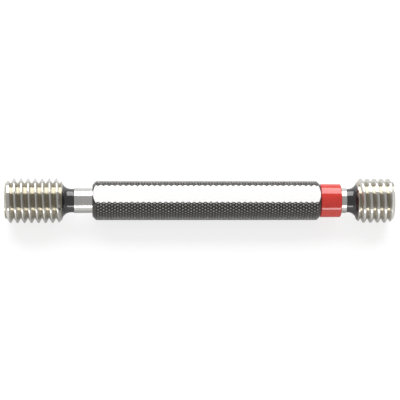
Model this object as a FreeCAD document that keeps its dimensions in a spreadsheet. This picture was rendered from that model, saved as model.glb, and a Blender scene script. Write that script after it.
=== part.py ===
"""Double-ended thread plug gauge, M8 x 1.25, right hand.

Two hardened gauge members, GO and NO-GO, are turned and ground in one piece each: a threaded
plug, a relieved neck and a 1:50 taper shank. The shanks are pushed into the taper bores of a
round handle with one marking flat, and a coloured ring on the NO-GO shank marks that end.

The gauge lies along X with the GO end at -X and the marking flat up. The origin is below the
middle of the gauge, on the surface that its GO thread crests lie on. Lengths are in millimetres.
"""
import FreeCAD, Part
import Sketcher
import os

SIZES = {
    # both threads
    "thread_pitch": 1.25,
    "thread_angle": 60.0,
    "groove_overrun": 0.05,
    # GO member: full thread form
    "go_crest_dia": 8.0,
    "go_crest_flat": 0.16,
    "go_thread_length": 10.08,
    "go_groove_lead": 1.14,
    "go_face_dia": 6.26,
    "go_neck_length": 2.07,
    "go_shank_showing": 3.35,
    "go_shank_seated": 7.5,
    "blunt_start_depth": 0.47,
    "blunt_start_angle": 228.0,
    # NO-GO member: fewer turns, and a shallower form with broad crests
    "nogo_crest_dia": 7.94,
    "nogo_crest_flat": 0.32,
    "nogo_thread_length": 6.55,
    "nogo_groove_lead": 1.26,
    "nogo_face_dia": 6.70,
    "nogo_neck_length": 1.85,
    "nogo_shank_showing": 1.05,
    "nogo_shank_seated": 6.5,
    # neck, taper shank and centre hole, alike on both members
    "thread_back_dia": 6.78,
    "flare_radius": 1.6,
    "neck_dia": 4.24,
    "shank_dia": 4.48,
    "shank_taper": 0.02,
    "shank_end_chamfer": 0.3,
    "centre_hole_dia": 1.6,
    # handle
    "handle_length": 40.75,
    "handle_dia": 7.0,
    "handle_chamfer": 0.65,
    "flat_from_axis": 2.97,
    "taper_fit_gap": 0.02,
    "bore_end_gap": 0.8,
    # NO-GO marking ring
    "ring_length": 3.70,
    "ring_dia": 5.98,
    "ring_chamfer": 0.22,
    "ring_fit_gap": 0.03,
}

doc = FreeCAD.newDocument("thread_plug_gauge")
sheet = doc.addObject("Spreadsheet::Sheet", "sizes")
for row, (alias, value) in enumerate(SIZES.items(), start=1):
    sheet.set(f"A{row}", alias)
    sheet.set(f"B{row}", str(value))
    sheet.setAlias(f"B{row}", alias)
doc.recompute()


def pin(sketch, kind, edge, end, size):
    """Dimensions one end of an edge from the sketch's origin with an expression on the sheet."""
    rule = sketch.addConstraint(
        Sketcher.Constraint(kind, -1, 1, edge, end, float(sheet.evalExpression(size)))
    )
    sketch.setExpression(f"Constraints[{rule}]", size)


def outline(body, name, corners, role="XZ_Plane"):
    """A closed sketch through corners given as expressions (along, out).

    A third entry shapes the edge to the next corner: a radius makes it a hollow arc, and "taper" a
    straight spline, which turns into a long slight cone with few facets.
    """
    sketch = body.newObject("Sketcher::SketchObject", name)
    origin_plane = next(item for item in body.Origin.OriginFeatures if item.Role == role)
    sketch.AttachmentSupport = [(origin_plane, "")]
    sketch.MapMode = "FlatFace"
    points = [
        FreeCAD.Vector(sheet.evalExpression(corner[0]), sheet.evalExpression(corner[1]), 0)
        for corner in corners
    ]
    for edge, corner in enumerate(corners):
        start = points[edge]
        end = points[(edge + 1) % len(points)]
        line = Part.LineSegment(start, end)
        if len(corner) == 2:
            sketch.addGeometry(line)
            continue
        if corner[2] == "taper":
            sketch.addGeometry(line.toBSpline())
            continue
        radius = sheet.evalExpression(corner[2])
        half = (end - start) / 2
        across = FreeCAD.Vector(-half.y, half.x, 0).normalize()
        centre = start + half + across * (radius**2 - half.Length**2) ** 0.5
        sketch.addGeometry(Part.Arc(start, centre - across * radius, end))
    for edge, corner in enumerate(corners):
        sketch.addConstraint(Sketcher.Constraint("Coincident", edge, 2, (edge + 1) % len(corners), 1))
        pin(sketch, "DistanceX", edge, 1, corner[0])
        pin(sketch, "DistanceY", edge, 1, corner[1])
        if len(corner) == 3 and corner[2] != "taper":
            rule = sketch.addConstraint(
                Sketcher.Constraint("Radius", edge, float(sheet.evalExpression(corner[2])))
            )
            sketch.setExpression(f"Constraints[{rule}]", corner[2])
    return sketch


def turned(body, kind, name, corners):
    """A Revolution or a Groove of an outline about the body's X axis."""
    feature = body.newObject(f"PartDesign::{kind}", name)
    feature.Profile = outline(body, f"{name}_outline", corners)
    feature.ReferenceAxis = (feature.Profile[0], ["H_Axis"])
    feature.Angle = 360
    return feature


def taper_radius(mouth, depth):
    """The radius of a 1:50 taper at a depth below its mouth."""
    return f"{mouth} - ({depth}) * sizes.shank_taper / 2"


# ---- gauge members ------------------------------------------------------------------------------


def shank_length(side):
    ring = " + sizes.ring_length" if side == "nogo" else ""
    return f"(sizes.{side}_shank_showing + sizes.{side}_shank_seated{ring})"


def member_length(side):
    """From the end face of the thread to the end of the shank."""
    return f"(sizes.{side}_thread_length + sizes.{side}_neck_length + {shank_length(side)})"


def gauge_member(name, side):
    """A gauge member with its end face at the body's origin and its shank towards +X."""
    body = doc.addObject("PartDesign::Body", name)
    body.Label = name

    # the blank is turned: chamfered plug, hollow flare down to the neck, step up to the shank
    crest = f"sizes.{side}_crest_dia / 2"
    face = f"sizes.{side}_face_dia / 2"
    back = "sizes.thread_back_dia / 2"
    neck = "sizes.neck_dia / 2"
    shank = "sizes.shank_dia / 2"
    plug_end = f"sizes.{side}_thread_length"
    step = f"{plug_end} + sizes.{side}_neck_length"
    flare_rise = f"({neck} + sizes.flare_radius - {back})"
    flare_end = f"{plug_end} + sqrt(sizes.flare_radius^2 - {flare_rise}^2)"
    tail = member_length(side)
    tail_radius = taper_radius(shank, shank_length(side))
    turned(
        body,
        "Revolution",
        "blank",
        [
            ("0", "0"),
            ("0", face),
            (f"{crest} - {face}", crest),
            (f"{plug_end} - ({crest} - {back})", crest),
            (plug_end, back, "sizes.flare_radius"),
            (flare_end, neck),
            (step, neck),
            (f"{step} + {shank} - {neck}", shank, "taper"),
            (f"{tail} - sizes.shank_end_chamfer", tail_radius),
            (tail, f"{tail_radius} - sizes.shank_end_chamfer"),
            (tail, "0"),
        ],
    )

    # a 60 degree centre hole in the end face, which the member was ground on
    mouth = "sizes.centre_hole_dia / 2"
    turned(body, "Groove", "centre_hole", [("0", "0"), ("0", mouth), (f"{mouth} / tan(30)", "0")])

    # the thread groove is a pointed V at the thread angle, as deep as the crest flat leaves it.
    # Its cutter starts clear of the end face and leaves through the flare
    slope = "tan(sizes.thread_angle / 2)"
    depth = f"(sizes.thread_pitch - sizes.{side}_crest_flat) / 2 / {slope}"
    rim_half = f"({depth} + sizes.groove_overrun) * {slope}"
    rim = f"{crest} + sizes.groove_overrun"
    start = f"sizes.{side}_groove_lead - 2 * sizes.thread_pitch"
    groove = body.newObject("PartDesign::SubtractiveHelix", "thread_groove")
    groove.Profile = outline(
        body,
        "groove_outline",
        [
            (start, f"{crest} - {depth}"),
            (f"{start} + {rim_half}", rim),
            (f"{start} - {rim_half}", rim),
        ],
    )
    groove.ReferenceAxis = (groove.Profile[0], ["H_Axis"])
    groove.Mode = "pitch-height-angle"
    groove.setExpression("Pitch", "sizes.thread_pitch")
    groove.setExpression("Height", f"sizes.{side}_thread_length + 2.5 * sizes.thread_pitch")
    body.Tip = groove
    return body


def blunt_start(body):
    """Cuts back the GO thread's thin first crest, from the groove middle below the axis onwards.

    The cutter follows the thread from there, so that it begins with its full form.
    """
    crest = "sizes.go_crest_dia / 2"
    floor = f"-({crest} - sizes.blunt_start_depth)"
    rim = f"-({crest} + sizes.groove_overrun)"
    groove_middle = "sizes.go_groove_lead - sizes.thread_pitch / 2"
    before_face = f"{groove_middle} - 2 * sizes.thread_pitch"
    cut = body.newObject("PartDesign::SubtractiveHelix", "blunt_start")
    cut.Profile = outline(
        body,
        "blunt_start_outline",
        [
            (before_face, floor),
            (groove_middle, floor),
            (groove_middle, rim),
            (before_face, rim),
        ],
    )
    cut.ReferenceAxis = (cut.Profile[0], ["H_Axis"])
    cut.Mode = "pitch-height-angle"
    cut.setExpression("Pitch", "sizes.thread_pitch")
    cut.setExpression("Height", "sizes.thread_pitch * sizes.blunt_start_angle / 360")
    body.Tip = cut


half_length = (
    "(sizes.go_thread_length + sizes.go_neck_length + sizes.go_shank_showing"
    " + sizes.handle_length + sizes.ring_length + sizes.nogo_shank_showing"
    " + sizes.nogo_neck_length + sizes.nogo_thread_length) / 2"
)
axis_height = "sizes.go_crest_dia / 2"
handle_start = (
    f"sizes.go_thread_length + sizes.go_neck_length + sizes.go_shank_showing - {half_length}"
)
handle_end = f"{handle_start} + sizes.handle_length"

go_member = gauge_member("go_member", "go")
blunt_start(go_member)
go_member.setExpression("Placement.Base.x", f"-{half_length}")

# turned about Z, the NO-GO member's end face looks towards +X and its thread stays right hand
no_go_member = gauge_member("no_go_member", "nogo")
no_go_member.Placement.Rotation = FreeCAD.Rotation(FreeCAD.Vector(0, 0, 1), 180)
no_go_member.setExpression("Placement.Base.x", half_length)


# ---- handle -------------------------------------------------------------------------------------

handle = doc.addObject("PartDesign::Body", "handle")
handle.Label = "handle"
bar = "sizes.handle_dia / 2"
bar_face = f"{bar} - sizes.handle_chamfer"
turned(
    handle,
    "Revolution",
    "bar",
    [
        ("0", "0"),
        ("0", bar_face),
        ("sizes.handle_chamfer", bar),
        ("sizes.handle_length - sizes.handle_chamfer", bar),
        ("sizes.handle_length", bar_face),
        ("sizes.handle_length", "0"),
    ],
)

# each bore has its shank's taper, is wider by the fit gap and ends beyond the shank's end
seat = "sizes.shank_dia / 2 + sizes.taper_fit_gap"
go_seat = taper_radius(seat, "sizes.go_shank_showing")
go_depth = "(sizes.go_shank_seated + sizes.bore_end_gap)"
turned(
    handle,
    "Groove",
    "go_bore",
    [
        ("0", "0"),
        ("0", go_seat, "taper"),
        (go_depth, taper_radius(go_seat, go_depth)),
        (go_depth, "0"),
    ],
)
nogo_seat = taper_radius(seat, "sizes.nogo_shank_showing + sizes.ring_length")
nogo_depth = "(sizes.nogo_shank_seated + sizes.bore_end_gap)"
turned(
    handle,
    "Groove",
    "nogo_bore",
    [
        ("sizes.handle_length", "0"),
        (f"sizes.handle_length - {nogo_depth}", "0"),
        (f"sizes.handle_length - {nogo_depth}", taper_radius(nogo_seat, nogo_depth), "taper"),
        ("sizes.handle_length", nogo_seat),
    ],
)

# the marking flat is milled from end to end, shallower than the end chamfers
marking_flat = handle.newObject("PartDesign::Pocket", "marking_flat")
marking_flat.Profile = outline(
    handle,
    "marking_flat_outline",
    [
        ("-sizes.handle_dia", "sizes.flat_from_axis"),
        ("sizes.handle_dia", "sizes.flat_from_axis"),
        ("sizes.handle_dia", "sizes.handle_dia"),
        ("-sizes.handle_dia", "sizes.handle_dia"),
    ],
    role="YZ_Plane",
)
marking_flat.Type = "Length"
marking_flat.setExpression("Length", "sizes.handle_length")
marking_flat.Reversed = True
handle.Tip = marking_flat
handle.setExpression("Placement.Base.x", handle_start)


# ---- marking ring -------------------------------------------------------------------------------

# the ring butts against the handle and its plain bore clears the widest part of the taper in it
no_go_ring = doc.addObject("PartDesign::Body", "no_go_ring")
no_go_ring.Label = "no_go_ring"
ring = "sizes.ring_dia / 2"
ring_bore = taper_radius("sizes.shank_dia / 2", "sizes.nogo_shank_showing") + " + sizes.ring_fit_gap"
turned(
    no_go_ring,
    "Revolution",
    "sleeve",
    [
        ("0", ring_bore),
        ("0", f"{ring} - sizes.ring_chamfer"),
        ("sizes.ring_chamfer", ring),
        ("sizes.ring_length - sizes.ring_chamfer", ring),
        ("sizes.ring_length", f"{ring} - sizes.ring_chamfer"),
        ("sizes.ring_length", ring_bore),
    ],
)
no_go_ring.setExpression("Placement.Base.x", handle_end)


# ---- export -------------------------------------------------------------------------------------

pieces = [go_member, handle, no_go_ring, no_go_member]
for piece in pieces:
    piece.setExpression("Placement.Base.z", axis_height)
doc.recompute()

for item in doc.Objects:
    if "Invalid" in item.State or "Error" in item.State:
        raise RuntimeError(f"{item.Label} failed: {item.State}")
for piece in pieces:
    if piece.Shape.isNull() or not piece.Shape.isValid():
        raise RuntimeError(f"{piece.Label} has no valid shape")

os.makedirs("parts", exist_ok=True)
for piece in pieces:
    piece.Shape.exportStep(f"parts/{piece.Label}.step")
    print(f"{piece.Label}: {piece.Shape.Volume:.3f} mm3, {len(piece.Shape.Solids)} solid")
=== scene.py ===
"""Looks of the double-ended thread plug gauge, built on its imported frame. Lengths are in metres.

The gauge lies along X on its GO thread crests, with the marking flat up. The sections follow its
assembly: knurled handle, GO member, NO-GO marking ring, NO-GO member, then where it is shown.
"""
import bmesh
import bpy
import numpy as np
from math import cos, pi, radians, sin, sqrt, tan
from mathutils import Matrix, Vector


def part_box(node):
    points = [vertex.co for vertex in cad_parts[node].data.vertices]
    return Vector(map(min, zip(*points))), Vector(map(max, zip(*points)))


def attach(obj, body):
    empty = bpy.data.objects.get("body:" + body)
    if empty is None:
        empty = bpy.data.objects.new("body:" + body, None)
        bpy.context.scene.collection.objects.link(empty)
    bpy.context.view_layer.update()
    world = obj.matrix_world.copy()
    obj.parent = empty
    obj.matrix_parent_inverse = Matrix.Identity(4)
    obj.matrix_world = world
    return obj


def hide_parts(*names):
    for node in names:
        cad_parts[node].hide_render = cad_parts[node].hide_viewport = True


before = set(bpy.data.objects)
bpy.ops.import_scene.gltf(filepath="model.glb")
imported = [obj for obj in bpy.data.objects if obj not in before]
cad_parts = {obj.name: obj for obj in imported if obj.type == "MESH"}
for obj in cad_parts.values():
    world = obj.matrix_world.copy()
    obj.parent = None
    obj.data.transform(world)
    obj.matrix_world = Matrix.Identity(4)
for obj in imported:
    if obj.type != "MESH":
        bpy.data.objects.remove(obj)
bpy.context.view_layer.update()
mm = 0.001


# ---- handle -------------------------------------------------------------------------------------
# The bar that both members are pressed into: dark patinated steel, 7 mm round. A diamond knurl is
# rolled over its whole length, then the ends are chamfered, the taper bores reamed and one flat is
# ground bright from end to end.

handle_low, handle_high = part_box("handle")
bar_radius = 3.5 * mm
bar_length = handle_high.x - handle_low.x
bar_chamfer = 0.65 * mm
flat_height = 2.97 * mm
axis_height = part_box("go_member")[1].z / 2
go_bore_radius = 2.2265 * mm
nogo_bore_radius = 2.2125 * mm
go_bore_depth = 8.3 * mm
nogo_bore_depth = 7.3 * mm
bore_taper = 0.01

knurl_axial_pitch = 1.0 * mm
knurl_grooves_round = 38
knurl_round_pitch = 2 * pi * bar_radius / knurl_grooves_round
# rings of one knurl diamond, from the groove bottom up to its worn land: (share of width, depth)
knurl_rings = [(1.0, 0.175 * mm), (0.90, 0.158 * mm), (0.38, 0.022 * mm), (0.27, 0.0)]
diamond_merge_gap = 0.002 * mm
knurl_lead_in = 1.0 * mm
knurl_overhang = 0.3 * mm


def add_node(tree, kind, *feeds, **settings):
    """Adds a node to a tree. The feeds go into its inputs in order, and None leaves one alone."""
    node = tree.nodes.new(kind)
    for name, value in settings.items():
        setattr(node, name, value)
    for socket, feed in zip(node.inputs, feeds):
        if isinstance(feed, bpy.types.NodeSocket):
            tree.links.new(feed, socket)
        elif feed is not None:
            socket.default_value = feed
    return node


def calc(tree, operation, *values):
    return add_node(tree, "ShaderNodeMath", *values, operation=operation).outputs[0]


def new_tree(name, sizes):
    """A Geometry Nodes tree that takes a mesh, a number for each named size, and a material."""
    tree = bpy.data.node_groups.new(name, "GeometryNodeTree")
    tree.interface.new_socket("Mesh", in_out="INPUT", socket_type="NodeSocketGeometry")
    for size in sizes:
        tree.interface.new_socket(size, in_out="INPUT", socket_type="NodeSocketFloat")
    tree.interface.new_socket("Material", in_out="INPUT", socket_type="NodeSocketMaterial")
    tree.interface.new_socket("Mesh", in_out="OUTPUT", socket_type="NodeSocketGeometry")
    return tree, tree.nodes.new("NodeGroupInput").outputs


def run_tree(piece, tree, material, sizes):
    """Runs a tree on a piece and keeps the result as the piece's plain mesh."""
    modifier = piece.modifiers.new(tree.name, "NODES")
    modifier.node_group = tree
    for socket in tree.interface.items_tree:
        if socket.in_out == "INPUT" and socket.name in sizes:
            modifier[socket.identifier] = sizes[socket.name]
        if socket.in_out == "INPUT" and socket.name == "Material":
            modifier[socket.identifier] = material
    keep_result(piece)


def keep_result(piece):
    evaluated = piece.evaluated_get(bpy.context.evaluated_depsgraph_get())
    mesh = bpy.data.meshes.new_from_object(evaluated)
    piece.modifiers.clear()
    piece.data = mesh


def new_piece(name, mesh):
    piece = bpy.data.objects.new(name, mesh)
    bpy.context.scene.collection.objects.link(piece)
    return piece


def turned_mesh(name, rings, steps):
    """A closed turned mesh. Each ring is (along, out), each a number or steps + 1 values."""
    angles = np.linspace(0, 2 * pi, steps + 1)
    points = []
    for along, out in rings:
        x = np.broadcast_to(along, angles.shape)
        r = np.broadcast_to(out, angles.shape)
        points.append(np.stack([x, r * np.cos(angles), r * np.sin(angles)], axis=1))
    faces = []
    width = steps + 1
    for ring in range(len(rings) - 1):
        for step in range(steps):
            first = ring * width + step
            faces.append((first, first + 1, first + 1 + width, first + width))
    mesh = bpy.data.meshes.new(name)
    mesh.from_pydata(np.concatenate(points).tolist(), [], faces)
    shape = bmesh.new()
    shape.from_mesh(mesh)
    bmesh.ops.remove_doubles(shape, verts=shape.verts, dist=0.0005 * mm)
    bmesh.ops.recalc_face_normals(shape, faces=shape.faces)
    shape.to_mesh(mesh)
    shape.free()
    return mesh


def knurl_diamond():
    """One raised diamond, lying flat with its long diagonal along X and its outside towards +Z."""
    corners = [(1, 0), (0, 1), (-1, 0), (0, -1)]
    points = []
    faces = []
    for share, depth in knurl_rings:
        for along, across in corners:
            x = along * share * knurl_axial_pitch / 2
            y = across * share * knurl_round_pitch / 2
            points.append((x, y, -depth))
    for ring in range(len(knurl_rings) - 1):
        for corner in range(4):
            first = 4 * ring + corner
            beside = 4 * ring + (corner + 1) % 4
            faces.append((first, beside, beside + 4, first + 4))
    top = 4 * (len(knurl_rings) - 1)
    faces.append((top, top + 1, top + 2, top + 3))
    mesh = bpy.data.meshes.new("knurl_diamond")
    mesh.from_pydata(points, [], faces)
    return mesh


def position_parts(tree):
    place = add_node(tree, "GeometryNodeInputPosition").outputs[0]
    return add_node(tree, "ShaderNodeSeparateXYZ", place).outputs


def knurl_tree():
    """Lays diamonds in rows on a sheet, each row half a diamond over, and rolls the sheet up."""
    sizes = ["Bar Radius", "Rows", "Grooves Round", "Axial Pitch", "Round Pitch"]
    tree, given = new_tree("knurl", sizes)
    count = calc(tree, "MULTIPLY", given["Rows"], given["Grooves Round"])
    index = add_node(tree, "GeometryNodeInputIndex").outputs[0]
    row = calc(tree, "FLOOR", calc(tree, "DIVIDE", index, given["Grooves Round"]))
    column = calc(tree, "MODULO", index, given["Grooves Round"])
    half_over = calc(tree, "MULTIPLY", calc(tree, "MODULO", row, 2), 0.5)
    along = calc(tree, "MULTIPLY", calc(tree, "MULTIPLY", row, 0.5), given["Axial Pitch"])
    around = calc(tree, "MULTIPLY", calc(tree, "ADD", column, half_over), given["Round Pitch"])
    place = add_node(tree, "ShaderNodeCombineXYZ", along, around).outputs[0]
    points = add_node(tree, "GeometryNodePoints", count, place).outputs[0]
    laid = add_node(tree, "GeometryNodeInstanceOnPoints", points)
    tree.links.new(given["Mesh"], laid.inputs["Instance"])
    real = add_node(tree, "GeometryNodeRealizeInstances", laid.outputs[0]).outputs[0]

    flat = position_parts(tree)
    angle = calc(tree, "DIVIDE", flat["Y"], given["Bar Radius"])
    out = calc(tree, "ADD", flat["Z"], given["Bar Radius"])
    y = calc(tree, "MULTIPLY", out, calc(tree, "COSINE", angle))
    z = calc(tree, "MULTIPLY", out, calc(tree, "SINE", angle))
    rolled_place = add_node(tree, "ShaderNodeCombineXYZ", flat["X"], y, z).outputs[0]
    rolled = add_node(tree, "GeometryNodeSetPosition", real, None, rolled_place).outputs[0]
    joined = add_node(tree, "GeometryNodeMergeByDistance", rolled)
    joined.inputs["Distance"].default_value = diamond_merge_gap
    dressed = add_node(tree, "GeometryNodeSetMaterial", joined.outputs[0])
    tree.links.new(given["Material"], dressed.inputs["Material"])
    add_node(tree, "NodeGroupOutput", dressed.outputs[0])
    return tree


def new_material(name, colour, metallic, roughness):
    material = bpy.data.materials.new(name)
    material.use_nodes = True
    shader = material.node_tree.nodes["Principled BSDF"]
    shader.inputs["Base Color"].default_value = (*colour, 1)
    shader.inputs["Metallic"].default_value = metallic
    shader.inputs["Roughness"].default_value = roughness
    return material, material.node_tree, shader


def place_on_axis(tree, start):
    """The point in millimetres from a start on the gauge's axis, and its distance from the axis."""
    place = add_node(tree, "ShaderNodeTexCoord").outputs["Object"]
    to_start = (-start / mm, 0, -axis_height / mm)
    unturned = (0, 0, 0)
    in_mm = (1000, 1000, 1000)
    centred = add_node(tree, "ShaderNodeMapping", place, to_start, unturned, in_mm).outputs[0]
    across = add_node(
        tree, "ShaderNodeVectorMath", centred, (0, 1, 1), operation="MULTIPLY"
    ).outputs[0]
    out = add_node(tree, "ShaderNodeVectorMath", across, operation="LENGTH").outputs["Value"]
    return centred, out


def ramp(tree, feed, stops):
    """A colour ramp with stops given as (place, grey or colour)."""
    node = add_node(tree, "ShaderNodeValToRGB", feed)
    elements = node.color_ramp.elements
    while len(elements) < len(stops):
        elements.new(0.5)
    for element, (place, colour) in zip(elements, stops):
        element.position = place
        element.color = (*colour, 1) if isinstance(colour, tuple) else (colour, colour, colour, 1)
    return node.outputs[0]


def share_of(tree, value, low, high, smooth=True):
    """0 below low, 1 above high."""
    node = add_node(
        tree,
        "ShaderNodeMapRange",
        value,
        low,
        high,
        interpolation_type="SMOOTHSTEP" if smooth else "LINEAR",
    )
    return node.outputs[0]


def bump(tree, shader, height, depth, strength=1.0):
    node = add_node(tree, "ShaderNodeBump")
    node.inputs["Strength"].default_value = strength
    node.inputs["Distance"].default_value = depth
    tree.links.new(height, node.inputs["Height"])
    tree.links.new(node.outputs[0], shader.inputs["Normal"])


# patina: dark in the grooves, rubbed lighter on the lands of the diamonds
patina, tree, shader = new_material("knurl_patina", (0.04, 0.04, 0.036), 0.0, 0.32)
shader.inputs["IOR"].default_value = 1.7
place, out = place_on_axis(tree, handle_low.x)
rubbed = share_of(tree, out, 3.36, 3.50)
mottled = add_node(tree, "ShaderNodeTexNoise", place, None, 1.7, 3.0, 0.6).outputs[0]
worn = calc(tree, "ADD", rubbed, calc(tree, "MULTIPLY", calc(tree, "SUBTRACT", mottled, 0.5), 0.5))
colour = ramp(
    tree,
    worn,
    [(0.0, (0.030, 0.029, 0.026)), (0.55, (0.06, 0.058, 0.052)), (1.0, (0.22, 0.215, 0.20))],
)
tree.links.new(colour, shader.inputs["Base Color"])
tree.links.new(calc(tree, "MULTIPLY", rubbed, 0.6), shader.inputs["Metallic"])
grain = add_node(tree, "ShaderNodeTexNoise", place, None, 14.0, 3.0, 0.6).outputs[0]
bump(tree, shader, grain, 0.006 * mm)

# ground flat: fine lines along the bar from the grinding wheel
flat_steel, tree, shader = new_material("ground_flat", (0.45, 0.445, 0.44), 1.0, 0.34)
place, out = place_on_axis(tree, handle_low.x)
stretched = add_node(
    tree, "ShaderNodeVectorMath", place, (0.15, 9.0, 9.0), operation="MULTIPLY"
).outputs[0]
lines = add_node(tree, "ShaderNodeTexNoise", stretched, None, 3.0, 4.0, 0.6).outputs[0]
colour = ramp(tree, lines, [(0.3, (0.43, 0.425, 0.42)), (0.7, (0.48, 0.475, 0.47))])
tree.links.new(colour, shader.inputs["Base Color"])
bump(tree, shader, lines, 0.0006 * mm)

handle = new_piece("knurled_handle", knurl_diamond())
rows = 2 * round(bar_length / knurl_axial_pitch) + 5
run_tree(
    handle,
    knurl_tree(),
    patina,
    {
        "Bar Radius": bar_radius,
        "Rows": rows,
        "Grooves Round": knurl_grooves_round,
        "Axial Pitch": knurl_axial_pitch,
        "Round Pitch": knurl_round_pitch,
    },
)
handle.data.transform(Matrix.Translation((-knurl_lead_in, 0, 0)))

# the knurled roll is cut square at its ends and closed, then turned, bored and ground to the blank
shape = bmesh.new()
shape.from_mesh(handle.data)
for end, outward in ((-knurl_overhang, -1), (bar_length + knurl_overhang, 1)):
    cut = bmesh.ops.bisect_plane(
        shape,
        geom=shape.verts[:] + shape.edges[:] + shape.faces[:],
        dist=1e-8,
        plane_co=(end, 0, 0),
        plane_no=(outward, 0, 0),
        clear_outer=True,
    )
    rim = [item for item in cut["geom_cut"] if isinstance(item, bmesh.types.BMEdge)]
    bmesh.ops.contextual_create(shape, geom=rim)
bmesh.ops.recalc_face_normals(shape, faces=shape.faces)
shape.to_mesh(handle.data)
shape.free()

outside = 0.2 * mm
blank = turned_mesh(
    "handle_blank",
    [
        (go_bore_depth, 0),
        (go_bore_depth, go_bore_radius - go_bore_depth * bore_taper),
        (0, go_bore_radius),
        (0, bar_radius - bar_chamfer),
        (bar_chamfer + outside, bar_radius + outside),
        (bar_length - bar_chamfer - outside, bar_radius + outside),
        (bar_length, bar_radius - bar_chamfer),
        (bar_length, nogo_bore_radius),
        (bar_length - nogo_bore_depth, nogo_bore_radius - nogo_bore_depth * bore_taper),
        (bar_length - nogo_bore_depth, 0),
    ],
    128,
)
shape = bmesh.new()
shape.from_mesh(blank)
cut = bmesh.ops.bisect_plane(
    shape,
    geom=shape.verts[:] + shape.edges[:] + shape.faces[:],
    dist=1e-8,
    plane_co=(0, 0, flat_height),
    plane_no=(0, 0, 1),
    clear_outer=True,
)
bmesh.ops.contextual_create(
    shape, geom=[item for item in cut["geom_cut"] if isinstance(item, bmesh.types.BMEdge)]
)
bmesh.ops.recalc_face_normals(shape, faces=shape.faces)
shape.to_mesh(blank)
shape.free()
blank_piece = new_piece("handle_blank", blank)
boolean = handle.modifiers.new("turned_bored_ground", "BOOLEAN")
boolean.operation = "INTERSECT"
boolean.solver = "EXACT"
boolean.object = blank_piece
keep_result(handle)
bpy.data.objects.remove(blank_piece)

handle.data.materials.clear()
handle.data.materials.append(patina)
handle.data.materials.append(flat_steel)
for face in handle.data.polygons:
    on_flat = face.normal.z > 0.999 and abs(face.center.z - flat_height) < 0.003 * mm
    face.material_index = 1 if on_flat else 0
handle.data.transform(Matrix.Translation((handle_low.x, 0, axis_height)))
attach(handle, "root")
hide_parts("handle")


# ---- GO member ----------------------------------------------------------------------------------
# The full-form thread plug, turned and ground in one piece from hardened steel with its relieved
# neck and taper shank. The thread, face and shank are ground bright after the blackened neck is
# turned. The shank is pushed into the handle's taper bore, which holds it.

thread_pitch = 1.25 * mm
flank_rise = 1 / tan(radians(30))
thread_back_radius = 3.39 * mm
flare_radius = 1.6 * mm
neck_radius = 2.12 * mm
shank_radius = 2.24 * mm
shank_taper = 0.01
shank_end_chamfer = 0.3 * mm
centre_hole_radius = 0.8 * mm
blunt_rounding = 0.04 * mm
run_out_past_plug = 0.3 * mm
steps_round = 144


def diagonal(tree, a, b):
    squares = calc(tree, "ADD", calc(tree, "MULTIPLY", a, a), calc(tree, "MULTIPLY", b, b))
    return calc(tree, "SQRT", squares)


def thread_tree():
    """Cuts a right-hand V thread round X into a turned blank that starts at the origin."""
    sizes = ["Pitch", "Lead", "Root Radius", "Flank Rise", "Crest Rounding", "Root Rounding"]
    sizes += ["Blunt Radius", "Blunt Turn"]
    tree, given = new_tree("ground_thread", sizes)
    x, y, z = position_parts(tree)
    out = diagonal(tree, y, z)
    turn = calc(tree, "DIVIDE", calc(tree, "ARCTAN2", z, y), 2 * pi)
    past_top = calc(tree, "SUBTRACT", turn, 0.25)
    along = calc(tree, "DIVIDE", calc(tree, "SUBTRACT", x, given["Lead"]), given["Pitch"])
    groove = calc(tree, "SUBTRACT", along, past_top)
    offset = calc(tree, "SUBTRACT", groove, calc(tree, "ROUND", groove))
    side = calc(tree, "MULTIPLY", calc(tree, "ABSOLUTE", offset), given["Pitch"])
    rise = calc(tree, "MULTIPLY", side, given["Flank Rise"])
    soft_rise = diagonal(tree, rise, given["Root Rounding"])
    wall = calc(tree, "ADD", given["Root Radius"], soft_rise)
    threaded = calc(tree, "SMOOTH_MIN", out, wall, given["Crest Rounding"])

    # the thin first crest is cut back, from below the axis for the blunt turn
    begun = calc(tree, "FRACT", calc(tree, "ADD", past_top, 0.5))
    first_crest = calc(tree, "LESS_THAN", along, calc(tree, "SUBTRACT", begun, 0.5))
    blunt = calc(tree, "MULTIPLY", first_crest, calc(tree, "LESS_THAN", begun, given["Blunt Turn"]))
    cut_back = calc(tree, "SMOOTH_MIN", threaded, given["Blunt Radius"], blunt_rounding)
    cut = add_node(tree, "ShaderNodeMix", blunt, None, threaded, cut_back).outputs[0]
    scale = calc(tree, "DIVIDE", cut, calc(tree, "MAXIMUM", out, 1e-9))
    place = add_node(
        tree,
        "ShaderNodeCombineXYZ",
        x,
        calc(tree, "MULTIPLY", y, scale),
        calc(tree, "MULTIPLY", z, scale),
    ).outputs[0]
    moved = add_node(tree, "GeometryNodeSetPosition", given["Mesh"], None, place).outputs[0]
    real = add_node(tree, "GeometryNodeRealizeInstances", moved).outputs[0]
    dressed = add_node(tree, "GeometryNodeSetMaterial", real)
    tree.links.new(given["Material"], dressed.inputs["Material"])
    add_node(tree, "NodeGroupOutput", dressed.outputs[0])
    return tree


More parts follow.
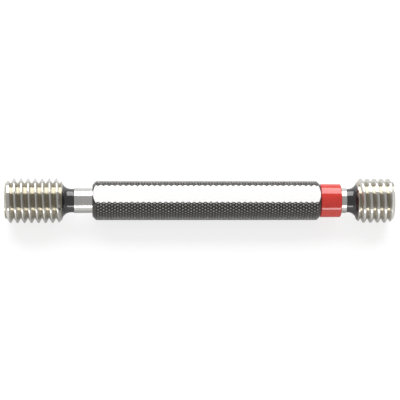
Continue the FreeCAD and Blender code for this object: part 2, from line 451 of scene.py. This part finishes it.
def threaded_blank(name, sizes):
    """A member's turned blank with its end face at the origin.

    Its rings over the thread advance by a pitch each turn, so that crests and roots run along them.
    """
    crest, face, length = sizes["crest_radius"], sizes["face_radius"], sizes["thread_length"]
    flare_drop = neck_radius + flare_radius - thread_back_radius
    flare_end = length + sqrt(flare_radius**2 - flare_drop**2)

    def flare(x):
        return neck_radius + flare_radius - np.sqrt(flare_radius**2 - (flare_end - x) ** 2)

    thread_end = length + run_out_past_plug
    flare_x = np.linspace(length, flare_end, 40)
    blank_x = np.concatenate([[0, crest - face, length - (crest - thread_back_radius)], flare_x])
    blank_r = np.concatenate([[face, crest, crest], flare(flare_x)])
    turn = np.linspace(0, 1, steps_round + 1)
    half_profile = [0.0, 0.03, 0.07, 0.13, 0.22, 0.32, 0.40, 0.45, 0.485, 0.51, 0.535, 0.57]
    half_profile = np.array(half_profile) * mm
    profile = np.concatenate([half_profile, [thread_pitch / 2], thread_pitch - half_profile[:0:-1]])
    first = sizes["groove_lead"] - 0.25 * thread_pitch
    first -= thread_pitch * np.ceil(first / thread_pitch + 1)
    turns = int(np.ceil((thread_end - first) / thread_pitch)) + 1
    rings = [
        (centre_hole_radius / tan(radians(30)), 0),
        (0.06 * mm, centre_hole_radius - 0.02 * mm),
        (0, centre_hole_radius + 0.03 * mm),
    ]
    for count in range(turns):
        for offset in profile:
            x = np.clip(first + (count + turn) * thread_pitch + offset, 0, thread_end)
            rings.append((x, np.interp(x, blank_x, blank_r)))
    for share in np.linspace(0, 1, 15)[1:] ** 0.8:
        x = thread_end + (flare_end - thread_end) * share
        rings.append((x, flare(x)))
    step = length + sizes["neck_length"]
    tail = step + sizes["shank_length"]
    tail_radius = shank_radius - sizes["shank_length"] * shank_taper
    rise = shank_radius - neck_radius
    rings += [
        (step - 0.03 * mm, neck_radius),
        (step, neck_radius + 0.01 * mm),
        (step + rise * 0.8, shank_radius - 0.02 * mm),
        (step + rise + 0.03 * mm, shank_radius),
        (tail - shank_end_chamfer, tail_radius),
        (tail, tail_radius - shank_end_chamfer),
        (tail, 0),
    ]
    return turned_mesh(name, rings, steps_round)


def member_steel(name, start, direction, sizes, black_over):
    """Ground steel with a blackened neck, which starts where the grinding wheel left the flare."""
    material, tree, shader = new_material(name, (0.6, 0.59, 0.56), 1.0, 0.24)
    place, out = place_on_axis(tree, start)
    point = add_node(tree, "ShaderNodeSeparateXYZ", place)
    x = calc(tree, "MULTIPLY", point.outputs["X"], direction)
    angle = calc(tree, "ARCTAN2", point.outputs["Y"], point.outputs["Z"])
    length = sizes["thread_length"] / mm
    step = length + sizes["neck_length"] / mm

    # grinding lines run round the axis
    stretched = add_node(
        tree, "ShaderNodeVectorMath", place, (1.0, 0.03, 0.03), operation="MULTIPLY"
    ).outputs[0]
    lines = add_node(tree, "ShaderNodeTexNoise", stretched, None, 9.0, 4.0, 0.65).outputs[0]
    cloudy = add_node(tree, "ShaderNodeTexNoise", place, None, 0.9, 3.0, 0.5).outputs[0]

    # the groove is painted darker and more olive towards the root: partly an olive film of old oil,
    # partly painted shade in the groove
    depth = share_of(tree, out, sizes["root_radius"] / mm + 0.02, sizes["crest_radius"] / mm - 0.05)
    oil_film_and_groove_shade = ramp(
        tree,
        calc(tree, "ADD", depth, calc(tree, "MULTIPLY", calc(tree, "SUBTRACT", cloudy, 0.5), 0.35)),
        [(0.0, (0.50, 0.47, 0.40)), (0.5, (0.58, 0.56, 0.51)), (1.0, (0.62, 0.61, 0.58))],
    )
    on_plug = share_of(tree, x, length + 0.9, length + 0.6, smooth=False)
    plain = ramp(tree, lines, [(0.3, (0.57, 0.565, 0.545)), (0.7, (0.64, 0.635, 0.615))])
    steel = add_node(tree, "ShaderNodeMix", data_type="RGBA")
    tree.links.new(on_plug, steel.inputs[0])
    tree.links.new(plain, steel.inputs[6])
    # the plug's steel takes the oil film and painted groove shade, darker at the root
    tree.links.new(oil_film_and_groove_shade, steel.inputs[7])

    # blackened from the flare to the step up to the shank
    waver = calc(tree, "MULTIPLY", calc(tree, "SUBTRACT", cloudy, 0.5), 0.12)
    run_out = calc(tree, "MULTIPLY", calc(tree, "SINE", calc(tree, "DIVIDE", angle, 2)), 0.16)
    edge = calc(tree, "ADD", calc(tree, "ADD", run_out, waver), length + 0.06)
    black_start = share_of(tree, calc(tree, "SUBTRACT", x, edge), -0.03, 0.03)
    black_end = share_of(tree, x, step + black_over + 0.03, step + black_over - 0.03)
    black = calc(tree, "MULTIPLY", black_start, black_end)
    colour = add_node(tree, "ShaderNodeMix", data_type="RGBA")
    tree.links.new(black, colour.inputs[0])
    tree.links.new(steel.outputs[2], colour.inputs[6])
    colour.inputs[7].default_value = (0.010, 0.010, 0.010, 1)
    tree.links.new(colour.outputs[2], shader.inputs["Base Color"])
    tree.links.new(calc(tree, "SUBTRACT", 1, black), shader.inputs["Metallic"])
    shader.inputs["IOR"].default_value = 1.7
    smoother = calc(tree, "MULTIPLY", black, -0.04)
    rough = calc(tree, "ADD", calc(tree, "MULTIPLY", lines, 0.10), smoother)
    tree.links.new(calc(tree, "ADD", rough, 0.12), shader.inputs["Roughness"])
    bump(tree, shader, lines, 0.0008 * mm)
    return material


def finish_member(piece, turn, start, node):
    """Sets a finished member at its place on the axis under the root body and hides the imported
    part it stands for.
    """
    piece.data.shade_smooth()
    piece.data.set_sharp_from_angle(angle=radians(32))
    piece.data.transform(Matrix.Translation((start, 0, axis_height)) @ turn)
    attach(piece, "root")
    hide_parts(node)


go = {
    "crest_radius": 4.0 * mm,
    "root_radius": 3.056 * mm,
    "face_radius": 3.13 * mm,
    "thread_length": 10.08 * mm,
    "groove_lead": 1.14 * mm,
    "neck_length": 2.07 * mm,
    "shank_length": 10.85 * mm,
}
go_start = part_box("go_member")[0].x
go_steel = member_steel("go_ground_steel", go_start, 1, go, 0.12)
go_member = new_piece("go_gauge_member", threaded_blank("go_blank", go))
ground_thread = thread_tree()
run_tree(
    go_member,
    ground_thread,
    go_steel,
    {
        "Pitch": thread_pitch,
        "Lead": go["groove_lead"],
        "Root Radius": go["root_radius"],
        "Flank Rise": flank_rise,
        "Crest Rounding": 0.06 * mm,
        "Root Rounding": 0.06 * mm,
        "Blunt Radius": 3.53 * mm,
        "Blunt Turn": 228 / 360,
    },
)
finish_member(go_member, Matrix.Identity(4), go_start, "go_member")


# ---- NO-GO marking ring -------------------------------------------------------------------------
# A sleeve of glossy red plastic on the NO-GO shank, which marks that end of the gauge. It is
# moulded with rounded rims and is held between the handle's end and the taper.

ring_low, ring_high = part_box("no_go_ring")
ring_length = ring_high.x - ring_low.x
ring_radius = 2.99 * mm
ring_bore = 2.265 * mm
ring_rounding = 0.22 * mm
bore_chamfer = 0.05 * mm

rim = [
    (ring_rounding * (1 - cos(a)), ring_radius - ring_rounding * (1 - sin(a)))
    for a in np.linspace(0, pi / 2, 7)
]
bore_edge = [(bore_chamfer, ring_bore), (0, ring_bore + bore_chamfer)]
ring_outline = bore_edge + rim
ring_outline += [(ring_length - x, r) for x, r in reversed(ring_outline)] + bore_edge[:1]
ring = new_piece("red_no_go_ring", turned_mesh("red_no_go_ring", ring_outline, 96))
ring.data.shade_smooth()
ring.data.set_sharp_from_angle(angle=radians(40))
ring.data.transform(Matrix.Translation((ring_low.x, 0, axis_height)))

red, tree, shader = new_material("red_plastic", (0.50, 0.020, 0.012), 0.0, 0.1)
place, out = place_on_axis(tree, ring_low.x)
cloudy = add_node(tree, "ShaderNodeTexNoise", place, None, 0.8, 2.0, 0.5).outputs[0]
colour = ramp(tree, cloudy, [(0.3, (0.46, 0.018, 0.011)), (0.7, (0.54, 0.024, 0.014))])
tree.links.new(colour, shader.inputs["Base Color"])
dust = add_node(tree, "ShaderNodeTexNoise", place, None, 6.0, 3.0, 0.6).outputs[0]
tree.links.new(calc(tree, "MULTIPLY_ADD", dust, 0.08, 0.06), shader.inputs["Roughness"])
shader.inputs["IOR"].default_value = 1.65
ring.data.materials.append(red)
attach(ring, "root")
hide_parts("no_go_ring")


# ---- NO-GO member -------------------------------------------------------------------------------
# The shorter thread plug, made as the GO member is, with fewer turns and a shallower form whose
# broad crests are rounded over. Its shank passes through the ring into the handle.

nogo = {
    "crest_radius": 3.97 * mm,
    "root_radius": 3.165 * mm,
    "face_radius": 3.35 * mm,
    "thread_length": 6.55 * mm,
    "groove_lead": 1.26 * mm,
    "neck_length": 1.85 * mm,
    "shank_length": 11.25 * mm,
}
nogo_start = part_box("no_go_member")[1].x
nogo_steel = member_steel("nogo_ground_steel", nogo_start, -1, nogo, 0.03)
nogo_member = new_piece("nogo_gauge_member", threaded_blank("nogo_blank", nogo))
run_tree(
    nogo_member,
    ground_thread,
    nogo_steel,
    {
        "Pitch": thread_pitch,
        "Lead": nogo["groove_lead"],
        "Root Radius": nogo["root_radius"],
        "Flank Rise": flank_rise,
        "Crest Rounding": 0.22 * mm,
        "Root Rounding": 0.08 * mm,
        "Blunt Radius": nogo["crest_radius"],
        "Blunt Turn": 0,
    },
)
finish_member(nogo_member, Matrix.Rotation(pi, 4, "Z"), nogo_start, "no_go_member")


# ---- floor, light and camera --------------------------------------------------------------------
# A plain white floor under soft studio light: one softbox behind, a low one in front and an even
# pale surround. The camera looks down on the marking flat from the side.

floor_mesh = bpy.data.meshes.new("floor")
floor_mesh.from_pydata([(-3, -3, 0), (3, -3, 0), (3, 3, 0), (-3, 3, 0)], [], [(0, 1, 2, 3)])
floor = new_piece("floor", floor_mesh)
white = bpy.data.materials.new("white_floor")
white.use_nodes = True
tree = white.node_tree
tree.nodes.clear()
bare = add_node(tree, "ShaderNodeBsdfDiffuse", (0.7, 0.7, 0.7, 1)).outputs[0]
shadow = add_node(tree, "ShaderNodeBsdfDiffuse", (0.3, 0.3, 0.3, 1)).outputs[0]
glow = add_node(tree, "ShaderNodeEmission", (1, 1, 1, 1), 0.74).outputs[0]
seen = add_node(tree, "ShaderNodeAddShader", shadow, glow).outputs[0]
path = add_node(tree, "ShaderNodeLightPath")
glossy = calc(tree, "MULTIPLY", path.outputs["Is Glossy Ray"], 0.3)
share = calc(tree, "ADD", path.outputs["Is Camera Ray"], glossy)
mixed = add_node(tree, "ShaderNodeMixShader", share, bare, seen).outputs[0]
add_node(tree, "ShaderNodeOutputMaterial", mixed)
floor_mesh.materials.append(white)


def softbox(name, low, high, away, width, radiance, side):
    """An area lamp turned to the gauge that fills the elevations from low to high."""
    middle = radians((low + high) / 2)
    height = 2 * away * tan(radians((high - low) / 2))
    data = bpy.data.lights.new(name, "AREA")
    data.shape = "RECTANGLE"
    data.size = width
    data.size_y = height
    data.energy = radiance * pi * width * height
    lamp = bpy.data.objects.new(name, data)
    bpy.context.scene.collection.objects.link(lamp)
    outward = Vector((0, side * cos(middle), sin(middle)))
    lamp.matrix_world = Matrix.Translation(outward * away + Vector((0, 0, axis_height))) @ (
        outward.to_track_quat("Z", "Y").to_matrix().to_4x4()
    )


softbox("back_softbox", low=14, high=64, away=0.6, width=0.9, radiance=4.4, side=1)
softbox("front_softbox", low=0.5, high=14, away=0.6, width=0.9, radiance=5.0, side=-1)

world = bpy.data.worlds.new("studio")
world.use_nodes = True
world.node_tree.nodes["Background"].inputs["Color"].default_value = (1, 1, 1, 1)
world.node_tree.nodes["Background"].inputs["Strength"].default_value = 0.5
bpy.context.scene.world = world

camera_distance = 0.2866
camera_elevation = radians(66)
camera_yaw = radians(2.8)
towards = Vector(
    (
        -sin(camera_yaw),
        -cos(camera_elevation) * cos(camera_yaw),
        sin(camera_elevation) * cos(camera_yaw),
    )
)
upward = Vector((0, towards.z, -towards.y)).normalized()
rightward = upward.cross(towards)
aim_above_axis = 0.107
target = Vector((0, 0, axis_height)) + upward * aim_above_axis * mm
turn = Matrix((rightward, upward, towards)).transposed().to_4x4()
camera_data = bpy.data.cameras.new("camera")
camera_data.lens = 144
camera_data.sensor_width = 36
camera_data.clip_start = 0.01
camera = bpy.data.objects.new("camera", camera_data)
camera.matrix_world = Matrix.Translation(target + towards * camera_distance) @ turn
bpy.context.scene.collection.objects.link(camera)
bpy.context.scene.camera = camera
bpy.context.scene.view_settings.view_transform = "Standard"
